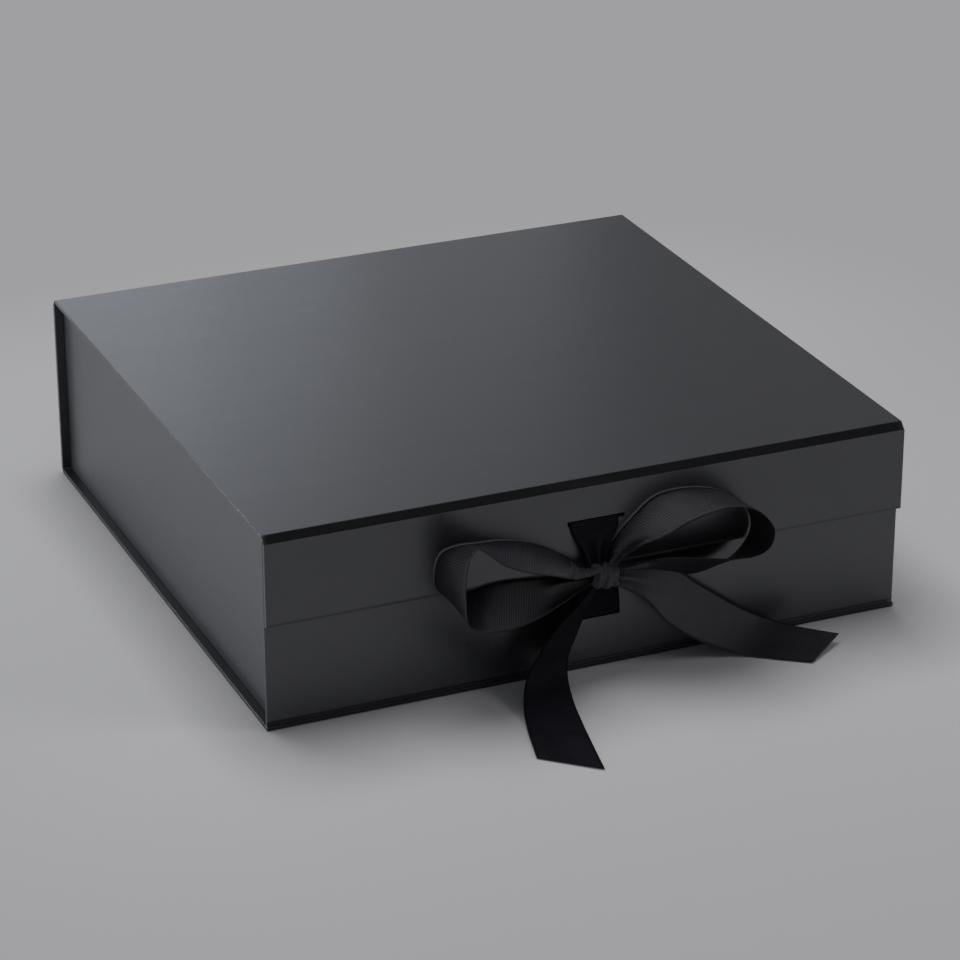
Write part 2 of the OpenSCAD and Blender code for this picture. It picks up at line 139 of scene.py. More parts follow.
# ---------------------------------------------------------------- camera
# Solved from the box's straight edges in the photograph.
camera_data = bpy.data.cameras.new("camera")
camera_data.lens = 133.933
camera_data.sensor_width = 36.0
camera_data.clip_start = 0.05
camera_data.clip_end = 60.0
camera = bpy.data.objects.new("camera", camera_data)
camera.location = (-0.63683, -1.51246, 0.77254)
camera.rotation_euler = (1.14632, 0.00153, -0.40539)
bpy.context.scene.collection.objects.link(camera)
bpy.context.scene.camera = camera


# ---------------------------------------------------------------- node helpers
MIX_A, MIX_B, MIX_RESULT = 6, 7, 2      # a Mix node's colour sockets


class Shader:
    """A material's node tree, with short calls for the nodes used here."""

    def __init__(self, name, roughness=0.5, specular=0.5, **inputs):
        self.material = bpy.data.materials.new(name)
        self.material.use_nodes = True
        self.tree = self.material.node_tree
        self.principled = self.tree.nodes["Principled BSDF"]
        self.set("Roughness", roughness)
        self.set("Specular IOR Level", specular)
        for key, value in inputs.items():
            self.set(key.replace("_", " "), value)

    def set(self, socket, value):
        """A constant on the shader's own socket."""
        self.principled.inputs[socket].default_value = value

    def link(self, source, target):
        self.tree.links.new(source, target)

    def node(self, kind, **settings):
        node = self.tree.nodes.new(kind)
        for key, value in settings.items():
            setattr(node, key, value)
        return node

    def fill(self, socket, value):
        """Links a socket to another, or gives it a constant."""
        if isinstance(value, bpy.types.NodeSocket):
            self.link(value, socket)
        else:
            socket.default_value = value

    def math(self, operation, a, b=0.0):
        node = self.node("ShaderNodeMath", operation=operation)
        self.fill(node.inputs[0], a)
        self.fill(node.inputs[1], b)
        return node.outputs[0]

    def vector_math(self, operation, a, b=(0, 0, 0)):
        node = self.node("ShaderNodeVectorMath", operation=operation)
        self.fill(node.inputs[0], a)
        self.fill(node.inputs[1], b)
        return node.outputs[0]

    def coordinates(self, kind="Object"):
        return self.node("ShaderNodeTexCoord").outputs[kind]

    def parts(self, vector):
        node = self.node("ShaderNodeSeparateXYZ")
        self.link(vector, node.inputs[0])
        return node.outputs

    def noise(self, vector, scale, detail=3.0, roughness=0.5, stretch=None):
        if stretch:
            vector = self.vector_math("MULTIPLY", vector, stretch)
        node = self.node("ShaderNodeTexNoise")
        self.link(vector, node.inputs["Vector"])
        node.inputs["Scale"].default_value = scale
        node.inputs["Detail"].default_value = detail
        node.inputs["Roughness"].default_value = roughness
        return node.outputs["Fac"]

    def map(self, value, low, high, to_low=0.0, to_high=1.0):
        node = self.node("ShaderNodeMapRange")
        self.fill(node.inputs[0], value)
        for socket, number in zip(node.inputs[1:5], (low, high, to_low, to_high)):
            socket.default_value = number
        return node.outputs[0]

    def mix(self, factor, a, b):
        node = self.node("ShaderNodeMix", data_type="RGBA")
        self.fill(node.inputs[0], factor)
        for index, colour in ((MIX_A, a), (MIX_B, b)):
            linked = isinstance(colour, bpy.types.NodeSocket)
            self.fill(node.inputs[index], colour if linked else (*colour, 1.0))
        return node.outputs[MIX_RESULT]

    def colour(self, socket):
        self.link(socket, self.principled.inputs["Base Color"])

    def roughness(self, socket):
        self.link(socket, self.principled.inputs["Roughness"])

    def bump(self, height, distance, strength=1.0):
        node = self.node("ShaderNodeBump")
        node.inputs["Strength"].default_value = strength
        node.inputs["Distance"].default_value = distance
        self.link(height, node.inputs["Height"])
        self.link(node.outputs[0], self.principled.inputs["Normal"])


def edge_wear(shader, size, width):
    """From 0 on a box's faces to 1 along its edges, size and width in metres."""
    place = shader.vector_math("MULTIPLY", shader.coordinates("Generated"), tuple(size))
    near = []
    for out, length in zip(shader.parts(place), size):
        near.append(shader.math("MINIMUM", out, shader.math("SUBTRACT", length, out)))
    low = shader.math("MINIMUM", near[0], near[1])
    high = shader.math("MAXIMUM", near[0], near[1])
    middle = shader.math("MAXIMUM", low, shader.math("MINIMUM", high, near[2]))
    return shader.map(middle, 0.0, width, 1.0, 0.0)


# ---------------------------------------------------------------- materials
WRAP_DARK = (0.0070, 0.0074, 0.0086)
WRAP_LIGHT = (0.0100, 0.0104, 0.0118)
WRAP_WORN = (0.026, 0.027, 0.030)       # where the laminate is rubbed along an edge
LAMINATE_TINT = (0.925, 0.94, 1.0, 1.0)
LAMINATE_IOR = 1.9
LAMINATE_ROUGH = (0.305, 0.325)
WORN_ROUGH = 0.15                       # what wear adds to the roughness
WEAR_WIDTH = 0.0009                     # m
RIM_ROUGH = 0.4                         # what a rim at a board's foot adds
# Ribbon tones: the dark ones are the black yarn and paint the shade in the grooves between the
# ribs; the light ones paint a highlight on the ribs' tops
RIBBON_DARK = (0.0012, 0.0011, 0.0019)
RIBBON_RIB_HIGHLIGHT = (0.0200, 0.0189, 0.0240)
# The ribbon's back: duller and darker than its face. This is partly its own look and partly
# painted shade for the left tail and the straps, which lie in shade. Its light tone paints the
# ribs' highlight
SHADED_BACK_DARK = (0.0022, 0.0020, 0.0032)
SHADED_BACK_RIB_HIGHLIGHT = (0.0112, 0.0105, 0.0145)
RIB = 1.28                              # from one rib to the next, mm
THREAD = 0.34                           # from one thread to the next, mm
SELVEDGE_AND_SHADE = (1.5, 0.2)                   # where the selvedge, rougher and darkened with painted shade over the edges' highlight, starts and is full, mm from the edge
GROOVE_ROUGH = 0.45                     # what a groove adds to the roughness,
RIB_SHINE = 0.08                        # and what the top of a rib takes from it
SELVEDGE_ROUGH = 0.4

# Noises: scale per metre, detail and roughness
MOTTLE = (60, 4, 0.5)
STREAK = (900, 3, 0.6)
BRUSHED = (240, 5, 0.7)
GRIT = (5200, 2, 0.6)
RUBBED = (420, 4, 0.65)
BLOTCH = (35, 5, 0.6)
FIBRE = (1500, 4, 0.7)
FLECK = (3600, 2, 0.5)
FUZZ = (2600, 3, 0.6)
CLOUD = (90, 3, 0.5)
STEEL_GRAIN = (1800, 3, 0.6)
WAX = (240, 4, 0.6)
TAPE_FIBRE = (1700, 3, 0.6)


def wrap_material(name, size, grain, rim, gloss):
    """Black paper with a matt laminate, glued over greyboard."""
    s = Shader(name, roughness=0.31, specular=0.5, IOR=gloss)
    s.set("Specular Tint", LAMINATE_TINT)
    place = s.coordinates()
    mottle = s.noise(place, *MOTTLE)
    streak = s.noise(place, *STREAK, grain)
    brush = s.noise(place, *BRUSHED, tuple(g ** 3 for g in grain))
    grit = s.noise(place, *GRIT)
    body = s.mix(s.map(mottle, 0.3, 0.7), WRAP_DARK, WRAP_LIGHT)
    rubbed = s.map(s.noise(place, *RUBBED), 0.46, 0.72)
    worn = s.math("MULTIPLY", edge_wear(s, size, WEAR_WIDTH), rubbed)
    s.colour(s.mix(worn, body, WRAP_WORN))
    rough = s.math("ADD", s.map(mottle, 0.3, 0.7, *LAMINATE_ROUGH),
                   s.map(streak, 0.3, 0.7, -0.03, 0.03))
    rough = s.math("ADD", rough, s.map(brush, 0.35, 0.65, -0.012, 0.012))
    rough = s.math("ADD", rough, s.math("MULTIPLY", worn, WORN_ROUGH))
    if rim:
        up = s.parts(s.vector_math("MULTIPLY", s.coordinates("Generated"), tuple(size)))[2]
        rough = s.math("ADD", rough, s.map(up, rim, rim * 1.5, RIM_ROUGH, 0.0))
    s.roughness(rough)
    height = s.math("ADD", s.math("MULTIPLY", streak, 0.6), s.math("MULTIPLY", grit, 0.4))
    s.bump(height, 0.00004, 0.5)
    return s.material


def paper_material(name, dark, light, rough, coordinates="Object"):
    """Plain uncoated paper with fibres and faint blotches."""
    s = Shader(name, roughness=rough, specular=0.35)
    place = s.coordinates(coordinates)
    blotch = s.noise(place, *BLOTCH)
    fibre = s.noise(place, *FIBRE, (1.0, 0.3, 1.0))
    fleck = s.noise(place, *FLECK)
    tone = s.math("ADD", s.math("MULTIPLY", blotch, 0.5), s.math("MULTIPLY", fibre, 0.5))
    s.colour(s.mix(s.map(tone, 0.3, 0.7), dark, light))
    s.roughness(s.map(fibre, 0.3, 0.7, rough - 0.06, rough + 0.06))
    height = s.math("ADD", s.math("MULTIPLY", fibre, 0.7), s.math("MULTIPLY", fleck, 0.3))
    s.bump(height, 0.00006, 0.6)
    return s.material


def ribbon_material(name, dark, light, rough, specular):
    """One side of black grosgrain: ribs across the ribbon with painted highlights on their tops
    and painted shade in their grooves, fine threads, and a rougher selvedge darkened with painted
    shade.
    """
    s = Shader(name, roughness=rough, specular=specular, Anisotropic=1.0)
    tangent = s.node("ShaderNodeTangent", direction_type="UV_MAP").outputs[0]
    s.link(tangent, s.principled.inputs["Tangent"])
    place = s.coordinates("UV")
    along, across = s.parts(place)[:2]
    wave = s.math("SINE", s.math("MULTIPLY", along, math.pi / (RIB * MM)))
    rib = s.math("ABSOLUTE", wave)
    thread = s.math("SINE", s.math("MULTIPLY", across, 2 * math.pi / (THREAD * MM)))
    fuzz = s.noise(place, *FUZZ)
    cloud = s.noise(place, *CLOUD)
    half = 0.5 * RIBBON_W * MM
    from_middle = s.math("ABSOLUTE", s.math("SUBTRACT", across, half))
    selvedge_and_shade = s.map(from_middle, half - SELVEDGE_AND_SHADE[0] * MM, half - SELVEDGE_AND_SHADE[1] * MM)
    # Painted highlight on the ribs' tops and painted shade in their grooves
    body = s.mix(s.map(rib, 0.0, 0.9), dark, light)
    body = s.mix(s.map(cloud, 0.35, 0.7, 0.0, 0.35), body, dark)
    # Painted shade along the ribbon's edges, which would otherwise catch a highlight; the selvedge
    # is also rougher there
    s.colour(s.mix(selvedge_and_shade, body, dark))
    sheen = s.math("ADD", s.map(rib, 0.2, 0.8, rough + GROOVE_ROUGH, rough - RIB_SHINE),
                   s.map(fuzz, 0.3, 0.7, -0.04, 0.04))
    s.roughness(s.math("ADD", sheen, s.math("MULTIPLY", selvedge_and_shade, SELVEDGE_ROUGH)))
    height = s.math("ADD", s.math("MULTIPLY", rib, 0.5), s.math("MULTIPLY", thread, 0.12))
    s.bump(s.math("ADD", height, s.math("MULTIPLY", fuzz, 0.2)), 0.00011, 0.9)
    return s.material


def steel_material():
    """Plated steel with a fine grain along X."""
    s = Shader("plated_steel", roughness=0.3, Metallic=1.0)
    brush = s.noise(s.coordinates(), *STEEL_GRAIN, (0.1, 1.0, 1.0))
    s.colour(s.mix(brush, (0.46, 0.47, 0.49), (0.62, 0.62, 0.63)))
    s.roughness(s.map(brush, 0.3, 0.7, 0.22, 0.4))
    s.bump(brush, 0.00003, 0.5)
    return s.material


def tape_material():
    """Double-sided tape with its waxed release film on."""
    s = Shader("release_film", roughness=0.35, specular=0.5)
    place = s.coordinates()
    wax = s.noise(place, *WAX)
    fibre = s.noise(place, *TAPE_FIBRE, (1.0, 1.0, 0.3))
    s.colour(s.mix(s.map(wax, 0.3, 0.7), (0.66, 0.63, 0.54), (0.80, 0.78, 0.70)))
    s.roughness(s.map(fibre, 0.3, 0.7, 0.28, 0.42))
    s.bump(s.math("ADD", wax, fibre), 0.00005, 0.5)
    return s.material


liner_paper = paper_material("liner_paper", (0.011, 0.011, 0.012), (0.022, 0.022, 0.024), 0.62)
# The paper over the hinges is darker than the laminate, to paint the shade in the hinge grooves
# and at the front wall's foot
shaded_crease_paper = paper_material(
    "shaded_crease_paper", (0.0018, 0.0018, 0.0022), (0.0035, 0.0035, 0.0042), 0.42, "UV")
fold_paper = paper_material("fold_paper", (0.008, 0.008, 0.009), (0.016, 0.016, 0.018), 0.55)
grosgrain = ribbon_material("grosgrain", RIBBON_DARK, RIBBON_RIB_HIGHLIGHT, 0.5, 0.6)
# The dull back, also a darker copy of the ribbon that paints shade on the left tail and the straps
shaded_grosgrain_back = ribbon_material("shaded_grosgrain_back", SHADED_BACK_DARK, SHADED_BACK_RIB_HIGHLIGHT, 0.6, 0.06)
steel = steel_material()
tape = tape_material()

# ---------------------------------------------------------------- the CAD nodes that stay
# How far each wrapped board's edges are rounded, in mm
ROUNDED = {
    "base_board": 0.35, "front_wall_board": 0.35, "spine_board": 0.35, "lid_board": 0.35,
    "flap_board": 0.85, "left_wall_board": 0.9, "right_wall_board": 0.9,
    "tab_front_left": 0.2, "tab_front_right": 0.2, "tab_back_left": 0.2, "tab_back_right": 0.2,
}
# The same for the other nodes, by kind, with each kind's material
SOFT_EDGE = {
    "steel": (steel, 0.06), "liner": (liner_paper, 0.05), "fold": (fold_paper, 0.12),
    "tape": (tape, 0.04),
}
RIM = {"flap_board": 0.0010}            # height of the duller rim at a board's foot, m
GLOSS = {"base_board": 1.45}            # index of refraction where it isn't the laminate's
GRAIN = {"lid_board": (0.25, 1.0, 1.0), "flap_board": (0.25, 1.0, 1.0)}
EVEN_GRAIN = (1.0, 1.0, 1.0)
WELD = 0.000002                         # m
SHARP = math.radians(35)


def round_edges(obj, width_mm, segments):
    """Welds the imported mesh, rounds its sharp edges and shades it evenly."""
    for polygon in obj.data.polygons:
        polygon.use_smooth = True
    weld = obj.modifiers.new("weld", "WELD")
    weld.merge_threshold = WELD
    bevel = obj.modifiers.new("bevel", "BEVEL")
    bevel.width = width_mm * MM
    bevel.segments = segments
    bevel.limit_method = "ANGLE"
    bevel.angle_limit = SHARP
    bevel.use_clamp_overlap = True
    normals = obj.modifiers.new("normals", "WEIGHTED_NORMAL")
    normals.keep_sharp = False


def paint(obj, material):
    obj.data.materials.clear()
    obj.data.materials.append(material)
    for polygon in obj.data.polygons:
        polygon.material_index = 0


def node_kind(name):
    if name in ("catch_plates", "flap_magnets"):
        return "steel"
    if name.endswith("liner"):
        return "liner"
    if "fold" in name or "leaf" in name:
        return "fold"
    return "tape"


for name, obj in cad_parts.items():
    if name.startswith("bow_") or name.endswith("_strap"):
        continue
    if name in ROUNDED:
        low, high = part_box(name)
        grain = GRAIN.get(name, EVEN_GRAIN)
        gloss = GLOSS.get(name, LAMINATE_IOR)
        paint(obj, wrap_material("wrap_" + name, high - low, grain, RIM.get(name, 0.0), gloss))
        round_edges(obj, ROUNDED[name], 3)
    else:
        material, width = SOFT_EDGE[node_kind(name)]
        paint(obj, material)
        round_edges(obj, width, 2)


# ---------------------------------------------------------------- ribbon meshes
RIB_HEIGHT = 0.06           # mm, as all of these but the counts and shares
EDGE_TEETH = 0.10           # how far the ribs stand out along the ribbon's edges
EDGE_TAPER = 0.45           # the share of its thickness that the ribbon keeps at its edges
STEP = RIB / 4
PER_STATION = 60            # points between two stations, before they are spaced evenly
COLUMNS = 18                # faces across a ribbon
GATHER_START = 1.08         # pleats begin where the ribbon is this many times narrower,
GATHER_RANGE = 0.5          # and are full when it is this much more


def add_mesh(name, points, faces, uvs):
    """A new smooth object from points in mm; uvs is one pair for each point, in metres."""
    mesh = bpy.data.meshes.new(name)
    mesh.from_pydata((np.asarray(points) * MM).tolist(), [], faces)
    layer = mesh.uv_layers.new(name="UVMap")
    corner = np.zeros(len(mesh.loops), int)
    mesh.loops.foreach_get("vertex_index", corner)
    layer.data.foreach_set("uv", np.asarray(uvs)[corner].ravel())
    mesh.polygons.foreach_set("use_smooth", [True] * len(mesh.polygons))
    mesh.update()
    obj = bpy.data.objects.new(name, mesh)
    bpy.context.scene.collection.objects.link(obj)
    return obj


def curve_at(points, t):
    """A point on the smooth curve through a list of points, as in the part."""
    last = len(points) - 1
    i = min(int(math.floor(t)), last - 1)
    u = t - i
    a, b = points[max(i - 1, 0)], points[i]
    c, d = points[i + 1], points[min(i + 2, last)]
    square, cube = 2 * a - 5 * b + 4 * c - d, 3 * b - a - 3 * c + d
    return 0.5 * (2 * b + u * (c - a) + u * u * square + u ** 3 * cube)


def distance_along(points):
    """How far along a line of points each one lies, from 0."""
    steps = np.linalg.norm(np.diff(points, axis=0), axis=1)
    return np.concatenate([[0], np.cumsum(steps)])


def smooth_edges(near, far):
    """Both edges of a ribbon at even steps along its middle line, in mm, and those steps."""
    near, far = np.array(near, float), np.array(far, float)
    places = np.linspace(0, len(near) - 1, PER_STATION * (len(near) - 1) + 1)
    a = np.array([curve_at(near, t) for t in places])
    b = np.array([curve_at(far, t) for t in places])
    run = distance_along((a + b) / 2)
    count = max(int(round(run[-1] / STEP)), 2)
    even = np.linspace(0, run[-1], count + 1)

    def at_even_steps(edge):
        return np.stack([np.interp(even, run, edge[:, k]) for k in range(3)], axis=1)

    return at_even_steps(a), at_even_steps(b), even


def unit(v):
    return v / np.maximum(np.linalg.norm(v, axis=-1, keepdims=True), 1e-9)


def pleat_shape(waves, places):
    """The pleats across a ribbon: a sum of waves, each a count, a phase and a weight."""
    return sum(weight * np.sin(2 * math.pi * count * places + phase)
               for count, phase, weight in waves)


def pleat_table(waves):
    """Heights of the pleats, and how much longer each makes the way across the ribbon."""
    places = np.linspace(0, 1, 201)
    slope = np.gradient(pleat_shape(waves, places), places)
    heights = np.linspace(0, 1.2, 121)
    longer = np.array([np.mean(np.sqrt(1 + (h * slope) ** 2)) for h in heights])
    return heights, longer


def ribbon_grid(near, far, waves, pleat_cap=1.1):
    """The ribbon's middle surface as a grid of points, with pleats where it is gathered."""
    heights, longer = pleat_table(waves)
    across = far - near
    width = np.linalg.norm(across, axis=1)
    along = np.gradient((near + far) / 2, axis=0)
    face = unit(np.cross(along, across))
    short = np.clip(RIBBON_W / width, 1, 4)
    gathered = np.clip((short - GATHER_START) / GATHER_RANGE, 0, 1)
    height = np.minimum(np.interp(short, longer, heights) * width, pleat_cap) * gathered ** 2
    places = np.linspace(0, 1, COLUMNS + 1)
    flat = near[:, None, :] + across[:, None, :] * places[None, :, None]
    wave = pleat_shape(waves, places)
    wave = wave - wave.mean()
    return flat + face[:, None, :] * (height[:, None] * wave[None, :])[:, :, None]


def quads(*corners):
    """A list of four-sided faces from four arrays of the points' numbers."""
    return np.stack(corners, -1).reshape(-1, 4).tolist()


def ribbon_object(name, grid, run, material):
    """A woven ribbon with real ribs around a grid of points, in mm."""
    rows, columns = grid.shape[0], grid.shape[1]
    d_row = np.gradient(grid, axis=0)
    d_col = np.gradient(grid, axis=1)
    normal = unit(np.cross(d_row, d_col))
    rib = np.abs(np.sin(math.pi * run / RIB))
    half = (0.5 * RIBBON_T - RIB_HEIGHT) + RIB_HEIGHT * rib
    taper = np.ones(columns)
    taper[0] = taper[-1] = EDGE_TAPER
    lift = normal * (half[:, None] * taper[None, :])[:, :, None]
    edge = unit(d_col) * (EDGE_TEETH * rib)[:, None, None]
    middle = grid.copy()
    middle[:, 0] -= edge[:, 0]
    middle[:, -1] += edge[:, -1]
    top, under = middle + lift, middle - lift
    points = np.concatenate([top.reshape(-1, 3), under.reshape(-1, 3)])
    widths = np.linspace(0, RIBBON_W * MM, columns)
    uv = np.stack(np.broadcast_arrays((run * MM)[:, None], widths[None, :]), axis=-1)
    uvs = np.concatenate([uv.reshape(-1, 2)] * 2)
    high = np.arange(rows * columns).reshape(rows, columns)
    low = high + rows * columns
    faces = quads(high[:-1, :-1], high[1:, :-1], high[1:, 1:], high[:-1, 1:])
    faces += quads(low[:-1, :-1], low[:-1, 1:], low[1:, 1:], low[1:, :-1])
    faces += quads(high[:-1, 0], low[:-1, 0], low[1:, 0], high[1:, 0])
    faces += quads(high[:-1, -1], high[1:, -1], low[1:, -1], low[:-1, -1])
    faces += quads(high[0, :-1], high[0, 1:], low[0, 1:], low[0, :-1])
    faces += quads(high[-1, :-1], low[-1, :-1], low[-1, 1:], high[-1, 1:])
    obj = add_mesh(name, points, faces, uvs)
    paint(obj, material)
    return obj


def bow_edges(stations, start, lift):
    """Both edges of a loop or tail; lift is the knot's height over the height drawn."""
    near, far = [], []
    for point, across in stations:
        for edge, (x, out, up) in ((near, point), (far, [p + a for p, a in zip(point, across)])):
            edge.append([start[0] + x, start[1] - out, start[2] + up * lift])
    return smooth_edges(near, far)


def declare_ribbon(obj, body, node):
    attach(obj, body)
    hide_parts(node)
    return obj


# Each piece: its name, stations, where they start, lift, the node it stands for, pleats and side.
# The loops start at the knot, and the tails at the table, so only the tails' stations are lifted.
AT_KNOT = (SLOT_X, FLAP_OUT, KNOT_Z)
AT_TABLE = (SLOT_X, FLAP_OUT, 0.0)
TAIL_LIFT = KNOT_Z / DRAWN_KNOT_Z
BOW = [
    ("ribbon_loop_right", LOOP_RIGHT, AT_KNOT, 1.0, "bow_loop_right",
     [(1.5, 0.4, 1.0), (2.6, 1.3, 0.35)], grosgrain),
    ("ribbon_loop_left", LOOP_LEFT, AT_KNOT, 1.0, "bow_loop_left",
     [(1.4, 2.6, 1.0), (2.7, 0.4, 0.35)], grosgrain),
    ("ribbon_tail_right", TAIL_RIGHT, AT_TABLE, TAIL_LIFT, "bow_tail_right",
     [(1.2, 0.9, 1.0), (2.3, 2.0, 0.4)], grosgrain),
    # The left tail takes the darker back, which paints its shade
    ("ribbon_tail_left", TAIL_LEFT, AT_TABLE, TAIL_LIFT, "bow_tail_left",
     [(1.0, 3.6, 1.0), (2.2, 1.0, 0.3)], shaded_grosgrain_back),
]
for name, stations, start, lift, node, waves, side in BOW:
    near, far, run = bow_edges(stations, start, lift)
    grid = ribbon_grid(near, far, waves)
    piece = ribbon_object(name, grid, run, side)
    declare_ribbon(piece, "flap", node)

KNOT_ROWS, KNOT_COLUMNS = 140, 34
KNOT_TURN = math.radians(172)           # the band stops short of meeting itself at the back
KNOT_TILT = math.radians(-9)
KNOT_HALF_W = 8.2                       # mm, at the top and underneath
KNOT_WAIST = 1.6                        # how much narrower it is in front, mm
KNOT_DEPTH, KNOT_HEIGHT = 4.3, 6.1      # its half sizes outward and upward, mm
KNOT_BARREL = (0.30, 2.6)               # the share that its ends are thinner, and how late
BIG_FOLDS = (0.075, 9.5)                # height as a share of the radius, and number
SMALL_FOLDS = (0.035, 17.0)


def wrapped_knot():
    """The band of ribbon round the bow's middle: a barrel with folds that run round it."""
    turn = np.linspace(-KNOT_TURN, KNOT_TURN, KNOT_ROWS)
    s = np.linspace(-1, 1, KNOT_COLUMNS)
    half_w = KNOT_HALF_W - KNOT_WAIST * np.cos(turn) ** 2
    barrel = 1 - KNOT_BARREL[0] * np.abs(s) ** KNOT_BARREL[1]
    sway = 0.9 * np.sin(turn)[:, None]
    folds = BIG_FOLDS[0] * np.sin(BIG_FOLDS[1] * s[None, :] + sway + 0.5)
    folds = folds + SMALL_FOLDS[0] * np.sin(SMALL_FOLDS[1] * s[None, :] - 1.7 * turn[:, None])
    radius = barrel[None, :] * (1 + folds)
    x = s[None, :] * half_w[:, None]
    y = -KNOT_DEPTH * radius * np.cos(turn)[:, None]
    z = KNOT_HEIGHT * radius * np.sin(turn)[:, None]
    grid = np.stack([
        KNOT_MIDDLE[0] + x * math.cos(KNOT_TILT) - z * math.sin(KNOT_TILT),
        KNOT_MIDDLE[1] + y,
        KNOT_MIDDLE[2] + x * math.sin(KNOT_TILT) + z * math.cos(KNOT_TILT),
    ], axis=-1)
    return grid, distance_along(grid[:, KNOT_COLUMNS // 2])


knot_grid, knot_run = wrapped_knot()
knot = ribbon_object("ribbon_knot", knot_grid, knot_run, grosgrain)
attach(knot, "flap")
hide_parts("bow_knot")


def strap(name, centre_x, path, waves, pleat_cap):
    """A strap along a path in the Y-Z plane: rows of [y, z, cut on the left, cut on the right]."""
    half = RIBBON_W / 2
    near = [[centre_x - (half - left), y, z] for y, z, left, right in path]
    far = [[centre_x + (half - right), y, z] for y, z, left, right in path]
    near, far, run = smooth_edges(near, far)
    grid = ribbon_grid(near, far, waves, pleat_cap)
    # The straps take the darker back, which paints their shade
    return ribbon_object(name, grid, run, shaded_grosgrain_back), run


inner_y = FLAP_LINER_Y + RIBBON_T / 2
outer_y = FLAP_OUT - CLEAR - RIBBON_T / 2
piece, run = strap("ribbon_strap_upper", UPPER_STRAP_X, [
    [inner_y, UPPER_SLOT_Z - STRAP_END, 0, 0],
    [inner_y, UPPER_SLOT_Z - 10, 0, 0],
    [inner_y, UPPER_SLOT_Z - 1.2, 0, 0],
    [inner_y - 0.5, UPPER_SLOT_Z - 0.1, 0, 0],
    [FLAP_IN - 1, UPPER_SLOT_Z, 0, 0],
    [outer_y + 0.4, UPPER_SLOT_Z - 0.1, 0, 0],
    [outer_y, UPPER_SLOT_Z - 1, 0.2, 0],
    [outer_y - 0.6, UPPER_SLOT_Z - 5, 1.5, 0.5],
    [outer_y - 1.8, UPPER_SLOT_Z - 10, 3.6, 3.7],
    [outer_y - 3.4, UPPER_SLOT_Z - 15, 6, 6.9],
    [outer_y - 4.4, UPPER_SLOT_Z - 20, 7.4, 7.9],
    [outer_y - 4.8, UPPER_SLOT_Z - 23, 7.6, 8.3],
], [(2.0, 0.6, 1.0), (3.4, 1.0, 0.3)], 1.6)
declare_ribbon(piece, "flap", "ribbon_upper_strap")

inner_y = FRONT_IN + LINER + RIBBON_T / 2
outer_y = FRONT_OUT - CLEAR - RIBBON_T / 2
piece, run = strap("ribbon_strap_lower", LOWER_STRAP_X, [
    [inner_y, LOWER_SLOT_Z + STRAP_END, 0, 0],
    [inner_y, LOWER_SLOT_Z + 10, 0, 0],
    [inner_y, LOWER_SLOT_Z + 1.2, 0, 0],
    [inner_y - 0.5, LOWER_SLOT_Z + 0.1, 0, 0],
    [FRONT_IN - 1, LOWER_SLOT_Z, 0, 0],
    [outer_y + 0.4, LOWER_SLOT_Z + 0.1, 0, 0],
    [outer_y, LOWER_SLOT_Z + 1, 0, 0],
    [outer_y - 0.5, LOWER_SLOT_Z + 6, 1, 0.3],
    [outer_y - 1.1, LOWER_SLOT_Z + 13, 2.4, 1.2],
    [outer_y - 1.2, LOWER_SLOT_Z + 19, 3, 2.4],
    [outer_y - 1.2, LOWER_SLOT_Z + 23, 3, 3],
], [(1.5, 0.9, 1.0), (2.7, 0.2, 0.3)], 0.5)
declare_ribbon(piece, "base", "ribbon_lower_strap")


# ---------------------------------------------------------------- paper hinges
CORNER_RADIUS = 0.5                     # mm
CORNER_STEPS = 4
PAPER_STEPS = 120                       # faces along a hinge
CRINKLE = 0.05                          # mm
CRINKLE_SPAN = 9                        # steps over which the crinkles are evened out
PAPER_SEED = 7
HINGE_INSET = 0.15                      # from the box's side to the strip's end, mm


def round_path(points):
    """A path of [y, z] points with each corner between its ends rounded."""
    points = [np.array(p, float) for p in points]
    path = [points[0]]
    for before, corner, after in zip(points, points[1:], points[2:]):
        reach = min(CORNER_RADIUS, np.linalg.norm(before - corner) / 2,
                    np.linalg.norm(after - corner) / 2)
        start = corner + unit(before - corner) * reach
        end = corner + unit(after - corner) * reach
        for t in np.linspace(0, 1, CORNER_STEPS + 1):
            path.append((1 - t) ** 2 * start + 2 * t * (1 - t) * corner + t ** 2 * end)
    return path + [points[-1]]


def paper_strip(name, outer, inner, half_w):
    """Creased paper along X between an outer and an inner path of [y, z] points, in mm."""
    outer, inner = round_path(outer), round_path(inner)
    outline = np.array(outer + inner[::-1])
    count, seen = len(outline), len(outer)
    xs = np.linspace(-half_w, half_w, PAPER_STEPS + 1)
    random = np.random.default_rng(PAPER_SEED)
    even = np.ones(CRINKLE_SPAN) / CRINKLE_SPAN
    ripple = np.stack([np.convolve(random.normal(0, 1, PAPER_STEPS + CRINKLE_SPAN), even, "valid")
                       for _ in range(seen)])
    side = unit(np.gradient(outline[:seen], axis=0))[:, ::-1] * np.array([-1.0, 1.0])
    held = np.sin(math.pi * np.linspace(0, 1, seen))
    points = []
    for k, x in enumerate(xs):
        ring = outline.copy()
        ring[:seen] += side * (held * ripple[:, k] * CRINKLE)[:, None]
        points.append(np.column_stack([np.full(count, x), ring]))
    faces = []
    for k in range(PAPER_STEPS):
        for j in range(count):
            p, q = k * count + j, k * count + (j + 1) % count
            faces.append([p, p + count, q + count, q])
    faces.append(list(range(count)))
    faces.append([PAPER_STEPS * count + j for j in reversed(range(count))])
    length = distance_along(outline)
    uvs = np.array([[x * MM, v * MM] for x in xs for v in length])
    obj = add_mesh(name, np.concatenate(points), faces, uvs)
    # Darker paper that paints the shade in the crease
    paint(obj, shaded_crease_paper)
    return obj


